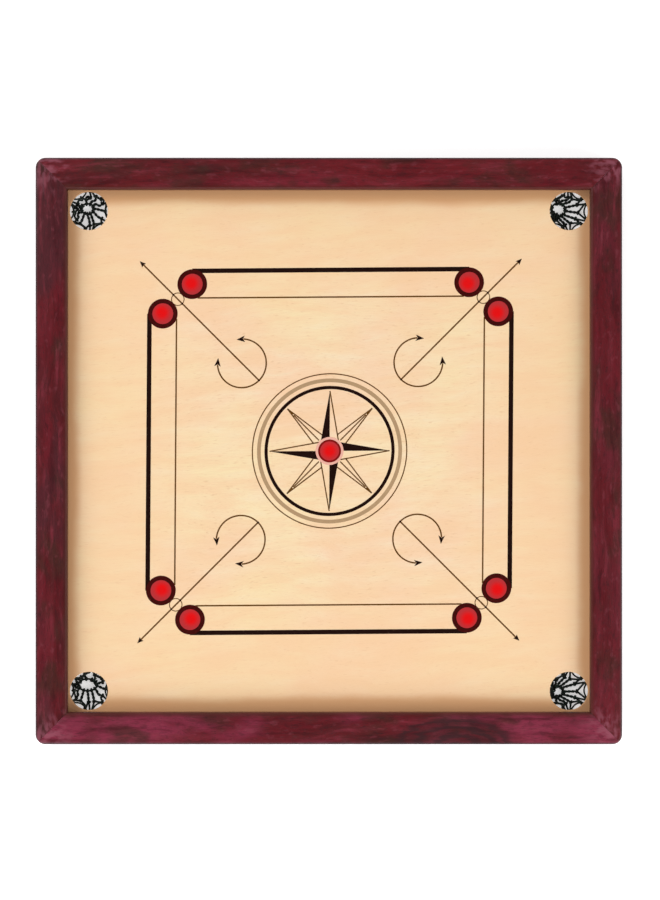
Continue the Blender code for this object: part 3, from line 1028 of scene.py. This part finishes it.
class CordNet:
    """Cords as strings of points that keep their lengths while they drop and settle."""

    def __init__(self, ceiling):
        self.ceiling = ceiling
        self.points = []
        self.pinned = []
        self.radii = []
        self.links = []
        self.bends = []

    def point(self, place, radius=CORD_RADIUS, pinned=False):
        self.points.append(np.array(place, float))
        self.radii.append(radius)
        self.pinned.append(pinned)
        return len(self.points) - 1

    def cord(self, start, end, length, bow, radius=CORD_RADIUS):
        """A cord of its own length between two points that are already there."""
        path = bowed(self.points[start], self.points[end], length, bow)
        ids = [start, *(self.point(spot, radius) for spot in path[1:-1]), end]
        rest = length / (len(ids) - 1)
        self.links += [(a, b, rest) for a, b in zip(ids, ids[1:])]
        self.bends += [(a, b, rest * BEND_NEXT) for a, b in zip(ids, ids[2:])]
        self.bends += [(a, b, rest * BEND_AFTER) for a, b in zip(ids, ids[3:])]
        return ids

    def settle(self):
        """Drops the net: lengths, stiffness, touching cords, the floor and the bed."""
        p = np.array(self.points)
        radii = np.array(self.radii)
        loose = ~np.array(self.pinned)
        free = loose.astype(float)[:, None]
        count = len(p)
        a, b, rest = (np.array(column) for column in zip(*self.links))
        c, d, least = (np.array(column) for column in zip(*self.bends))
        joined = np.eye(count, dtype=bool)
        joined[a, b] = joined[b, a] = True
        joined = joined @ joined @ joined
        rows, columns = np.nonzero(np.triu(~joined) & (loose[:, None] | loose))
        rooms = radii[rows] + radii[columns]
        share = free / np.maximum(np.bincount(np.r_[a, b], minlength=count), 1)[:, None]
        bend_share = free / np.maximum(np.bincount(np.r_[c, d], minlength=count), 1)[:, None]

        def pull(first, second, wanted, only_apart):
            """How far each point moves to bring its pairs to the distances wanted.

            With only_apart, a pair that is further apart than that is left alone.
            """
            gap = p[second] - p[first]
            length = np.linalg.norm(gap, axis=1) + TINY
            short = length - wanted
            if only_apart:
                short = np.minimum(short, 0)
            push = gap * (short / length / 2)[:, None]
            moves = [
                np.bincount(first, along, count) - np.bincount(second, along, count)
                for along in push.T
            ]
            return np.column_stack(moves)

        speed = np.zeros_like(p)
        for _ in range(STEPS):
            start = p.copy()
            speed[:, 2] -= WEIGHT
            p = p + speed * free
            near = np.linalg.norm(p[rows] - p[columns], axis=1) < rooms + TOUCH_RANGE
            touching = (rows[near], columns[near], rooms[near])
            for _ in range(ROUNDS):
                p = p + pull(a, b, rest, False) * share * LENGTH_PULL
                p = p + pull(c, d, least, True) * bend_share
                push = np.clip(pull(*touching, True), -TOUCH_MOST, TOUCH_MOST)
                p = p + push * free * TOUCH_PUSH
                out = np.hypot(p[:, 0], p[:, 1])
                inside = np.minimum(1, NET_REACH / np.maximum(out, TINY))
                p[loose, :2] *= inside[loose, None]
                p[loose, 2] = np.maximum(p[loose, 2], radii[loose])
                below = loose & (out > HOLE_RADIUS - CORD_RADIUS)
                p[below, 2] = np.minimum(p[below, 2], self.ceiling - radii[below] - BED_GAP)
            speed = (p - start) * DAMPING
            speed[p[:, 2] < radii + FLOOR_RANGE, :2] *= FLOOR_DRAG
            pace = np.maximum(np.linalg.norm(speed, axis=1), TINY)
            speed *= np.minimum(1, TOP_SPEED / pace)[:, None]
        self.points = p


def rim_route(tacks, height):
    """The rim cord's route: round the outside of each tack, bowed inwards between."""
    route = []
    hold = TACK_SHANK_RADIUS + RIM_CORD_RADIUS + CORD_PLAY
    corners = []
    for spot in tacks:
        outward = math.atan2(spot[1], spot[0])
        arc = []
        for turn in np.radians(TACK_TURNS):
            x = spot[0] + hold * math.cos(outward + turn)
            y = spot[1] + hold * math.sin(outward + turn)
            arc.append(np.array([x, y, height]))
        corners.append(arc)
    for i, arc in enumerate(corners):
        there = corners[(i + 1) % len(corners)][0]
        middle = (arc[-1] + there) / 2
        inward = -middle / np.hypot(middle[0], middle[1])
        inward[2] = -RIM_SAG
        route += arc[:-1]
        route += list(bowed(arc[-1], there, RIM_SPAN, inward)[:-1])
    return route


def tack_spots(corner, middle):
    """Where a pocket's tacks are about its middle, in order round it."""
    spots = []
    for i in range(TACKS):
        low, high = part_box(f"net_tack_{corner}_{i + 1}")
        spots.append((np.array((low + high) / 2) - middle) / MM)
    return sorted(spots, key=lambda spot: math.atan2(spot[1], spot[0]))


def hang_meshes(net, rim, rng):
    """The rim points that the meshes hang from, clear of the tacks."""
    hangs = []
    for i in range(MESHES):
        share = i + HANG_START + rng.uniform(-HANG_SPREAD, HANG_SPREAD)
        place = round(share * len(rim) / MESHES)
        while np.hypot(*net.points[rim[place % len(rim)]][:2]) > HANG_REACH:
            place += 1
        hangs.append(rim[place % len(rim)])
    return hangs


def tie_knots(net, hangs, middle, length, width, rng):
    """A knot in from each mesh's hangs, and its bearing from the ring's middle."""
    knots = []
    bearings = []
    for i in range(MESHES):
        edge = (net.points[hangs[i]] + net.points[hangs[(i + 1) % MESHES]]) / 2
        inward = middle - edge
        distance = np.hypot(inward[0], inward[1])
        step = KNOT_IN + rng.uniform(-KNOT_SPREAD, KNOT_SPREAD)
        step = min(step, max(distance - length / 2 - RING_CLEARANCE, 1))
        spot = edge + inward * step / distance
        spot[2] = KNOT_RADIUS + KNOT_LIFT
        knots.append(net.point(spot, KNOT_RADIUS))
        away = spot - middle
        bearings.append(math.atan2(away[1] / width, away[0] / length) % math.tau)
    return knots, bearings


def lay_net(corner):
    """Hangs one net from its tacks and lets it settle; gives the routes of its cords."""
    (ring_x, ring_y), (length, width), seed = NET_LAYS[corner]
    rng = np.random.default_rng(seed)
    low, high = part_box(f"pocket_net_{corner}")
    middle = np.array([(low.x + high.x) / 2, (low.y + high.y) / 2, FLOOR])
    ceiling = (BED_UNDERSIDE - FLOOR) / MM
    net = CordNet(ceiling)
    route = rim_route(tack_spots(corner, middle), ceiling - RIM_CORD_RADIUS - CORD_PLAY)
    rim = [net.point(spot, pinned=True) for spot in route]
    ring_middle = np.array([ring_x, ring_y, RING_HEIGHT])
    ring = []
    for k in range(RING_PLACES):
        angle = math.tau * k / RING_PLACES
        offset = (length / 2 * math.cos(angle), width / 2 * math.sin(angle), 0)
        ring.append(net.point(ring_middle + offset, pinned=True))
    hangs = hang_meshes(net, rim, rng)
    knots, bearings = tie_knots(net, hangs, ring_middle, length, width, rng)
    legs = []
    for i in range(MESHES):
        for hang in (hangs[i], hangs[(i + 1) % MESHES]):
            bow = rng.normal(size=3) * LEG_SPREAD + LEG_SAG
            legs.append(net.cord(hang, knots[i], LEG_LENGTH, bow))
    order = np.argsort(bearings)
    spokes = []
    for rank, i in enumerate(order):
        even = bearings[order[0]] + math.tau * rank / MESHES
        place = round((bearings[i] + even) / 2 / math.tau * RING_PLACES)
        slot = ring[place % RING_PLACES]
        gap = net.points[knots[i]] - net.points[slot]
        side = np.array([-gap[1], gap[0], 0]) / np.hypot(gap[0], gap[1])
        bow = side * rng.choice([-1, 1]) + SPOKE_RISE
        spokes.append(net.cord(knots[i], slot, SPOKE_LENGTH, bow, PAIR_RADIUS))
    net.settle()
    return middle, net.points, rim, ring, hangs, knots, legs, spokes


# The cords as they are drawn: each of three strands, and the spokes of two thinner cords.
STRAND_RADIUS = 0.65
STRAND_OFFSET = 0.65
STRAND_PITCH = 5.5
RIM_CORD_SIZE = RIM_CORD_RADIUS / CORD_RADIUS
STRANDS = 3
PAIR_CORD_SIZE = 0.85
PAIR_OFFSET = 0.75
PAIR_PITCH = 9.0
PAIR_STOPS_SHORT = 2
SIDES = 8
STATION = 0.75
LEAST_STATIONS = 4
LOOP_OVERLAP = 3
KNOT_SIZE = 0.6
KNOT_STATIONS = 49
EYE_STATIONS = 19
EYE_OPENING = math.radians(28)

# Directions that no cord runs along.
TUBE_ASKEW = (0.3, 0.2, 1.0)
KNOT_ASKEW = (0.2, 0.1, 1.0)


def rounded(path):
    """The path with its corners cut twice, in even steps of one station."""
    for _ in range(2):
        early = path[:-1] * 0.75 + path[1:] * 0.25
        late = path[:-1] * 0.25 + path[1:] * 0.75
        cut = np.empty((2 * len(early), 3))
        cut[0::2] = early
        cut[1::2] = late
        path = np.vstack([path[:1], cut, path[-1:]])
    return evenly(path, max(LEAST_STATIONS, round(along_path(path)[-1] / STATION)))


def cross_axes(path):
    """Two directions across the path at each point, which don't twist along it."""
    ways = np.gradient(path, axis=0)
    ways /= np.linalg.norm(ways, axis=1)[:, None]
    across = np.cross(ways[0], TUBE_ASKEW)
    first = []
    for way in ways:
        across = across - way * across.dot(way)
        across = across / np.linalg.norm(across)
        first.append(across)
    first = np.array(first)
    return first, np.cross(ways, first)


def wound(path, offset, pitch, phase):
    """A path that winds round another one."""
    first, second = cross_axes(path)
    turn = along_path(path) / pitch * math.tau + phase
    return path + offset * (first * np.cos(turn)[:, None] + second * np.sin(turn)[:, None])


class CordMesh:
    """Laid cords swept along their routes, gathered into one piece."""

    def __init__(self):
        self.points = []
        self.faces = []
        self.spots = []
        self.count = 0

    def tube(self, path, radius):
        """A closed tube, with how far along and how far round it each point lies."""
        first, second = cross_axes(path)
        angles = np.arange(SIDES) * math.tau / SIDES
        rings = (
            path[:, None]
            + radius * first[:, None] * np.cos(angles)[None, :, None]
            + radius * second[:, None] * np.sin(angles)[None, :, None]
        )
        base = self.count
        self.points += [rings.reshape(-1, 3), path[[0, -1]]]
        reach = along_path(path)
        self.spots.append(
            np.column_stack([np.repeat(reach, SIDES), np.tile(angles / math.tau, len(path))])
        )
        self.spots.append(np.array([[0, 0], [reach[-1], 0]]))
        ring = np.arange(SIDES)
        after = (ring + 1) % SIDES
        for i in range(len(path) - 1):
            here = base + i * SIDES
            there = here + SIDES
            self.faces += list(zip(here + ring, here + after, there + after, there + ring))
        start = base + len(path) * SIDES
        last = start - SIDES
        self.faces += [(start, base + after[k], base + k) for k in ring]
        self.faces += [(start + 1, last + k, last + after[k]) for k in ring]
        self.count = start + 2

    def cord(self, path, size=1.0):
        """A cord laid from three strands."""
        for k in range(STRANDS):
            phase = k * math.tau / STRANDS
            strand = wound(path, STRAND_OFFSET * size, STRAND_PITCH, phase)
            self.tube(strand, STRAND_RADIUS * size)

    def pair(self, path):
        """Two cords twisted together."""
        for phase in (0, math.pi):
            self.cord(wound(path, PAIR_OFFSET, PAIR_PITCH, phase), PAIR_CORD_SIZE)

    def eye(self, middle, axis, towards):
        """A loop round another cord, open on the side that its own cord comes from."""
        axis = axis / np.linalg.norm(axis)
        towards = towards - axis * towards.dot(axis)
        towards = towards / np.linalg.norm(towards)
        across = np.cross(axis, towards)
        turns = np.linspace(EYE_OPENING, math.tau - EYE_OPENING, EYE_STATIONS)[:, None]
        drift = axis * np.linspace(-0.5, 0.5, len(turns))[:, None] * CORD_RADIUS
        path = middle + EYE_REACH * (towards * np.cos(turns) + across * np.sin(turns)) + drift
        self.cord(rounded(path))

    def knot(self, middle, along):
        """A tight three-lobed knot across a cord."""
        along = along / np.linalg.norm(along)
        first = np.cross(along, KNOT_ASKEW)
        first = first / np.linalg.norm(first)
        second = np.cross(along, first)
        t = np.linspace(0, math.tau, KNOT_STATIONS)[:, None]
        lobe = 2 + np.cos(3 * t)
        path = first * lobe * np.cos(2 * t) + second * lobe * np.sin(2 * t) + along * np.sin(3 * t)
        self.cord(rounded(middle + path * KNOT_SIZE))

    def finish(self, name, origin):
        points = np.vstack(self.points) * MM + origin
        points[:, 2] = np.maximum(points[:, 2], FLOOR + CORD_PLAY * MM)
        mesh = bpy.data.meshes.new(name)
        mesh.from_pydata(points.tolist(), [], [tuple(map(int, face)) for face in self.faces])
        spots = np.vstack(self.spots)
        corners = np.empty(len(mesh.loops), dtype=np.int32)
        mesh.loops.foreach_get("vertex_index", corners)
        layer = mesh.uv_layers.new(name="along_cord")
        layer.data.foreach_set("uv", spots[corners].ravel())
        mesh.shade_smooth()
        return add_piece(mesh, NET_LOOK)


def net_material():
    """Dark green twisted cord, its filaments running along each strand."""
    g = Graph("net_cord")
    along = g.add("UVMap", {}, uv_map="along_cord")
    filaments = g.noise(g.add("Mapping", {"Vector": along, "Scale": (0.35, 16, 1)}), 1, 3, 0.6)
    tint = g.noise(g.place(), 260, 3, 0.6)
    colour = g.ramp(
        g.weigh(filaments, 0.5, tint, 0.5),
        (0.36, srgb(6, 14, 14)),
        (0.52, srgb(12, 30, 26)),
        (0.64, srgb(26, 62, 46)),
    )
    rough = g.between(filaments, 0.3, 0.7, 0.5, 0.7)
    return g.finish(
        colour,
        rough,
        g.bump(filaments, 0.1 * MM, 0.7),
        Specular_IOR_Level=0.3,
        Sheen_Weight=0.08,
        Sheen_Roughness=0.5,
    )


NET_LOOK = net_material()


def make_net(corner):
    """Draws one settled net in place of its CAD bag."""
    origin, p, rim, ring, hangs, knots, legs, spokes = lay_net(corner)
    cords = CordMesh()
    cords.cord(rounded(p[rim + rim[:LOOP_OVERLAP]]), RIM_CORD_SIZE)
    cords.cord(rounded(p[ring + ring[:LOOP_OVERLAP]]))
    for leg in legs:
        cords.cord(rounded(p[leg]))
    for spoke in spokes:
        path = rounded(p[spoke])
        cords.pair(path[:-PAIR_STOPS_SHORT])
        place = ring.index(spoke[-1])
        axis = p[ring[(place + 1) % len(ring)]] - p[ring[place - 1]]
        cords.eye(p[spoke[-1]], axis, p[spoke[-3]] - p[spoke[-1]])
        cords.knot(p[spoke[0]], p[spoke[2]] - p[spoke[0]])
    for i, hang in enumerate(hangs):
        place = rim.index(hang)
        axis = p[rim[(place + 1) % len(rim)]] - p[rim[place - 1]]
        cords.eye(p[hang], axis, p[knots[i]] - p[hang])
    piece = cords.finish(f"knotted_net_{corner}", origin)
    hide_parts(f"pocket_net_{corner}")


for corner in CORNERS:
    make_net(corner)


# Floor --------------------------------------------------------------


FLOOR_REACH = 12
FLOOR_GAP = 0.05 * MM
FLOOR_GLOW = 0.5


def make_floor():
    """A plain white studio floor."""
    bm = bmesh.new()
    bmesh.ops.create_grid(bm, x_segments=1, y_segments=1, size=FLOOR_REACH)
    mesh = bpy.data.meshes.new("floor")
    bm.to_mesh(mesh)
    bm.free()
    floor = new_object("floor", mesh)
    floor.location.z = FLOOR - FLOOR_GAP
    g = Graph("floor_paper")
    grain = g.noise(g.place(), 300, 3)
    colour = g.mix(grain, srgb(250, 250, 250), srgb(247, 247, 247))
    mesh.materials.append(
        g.finish(colour, 0.9, Emission_Color=(1, 1, 1), Emission_Strength=FLOOR_GLOW)
    )


make_floor()
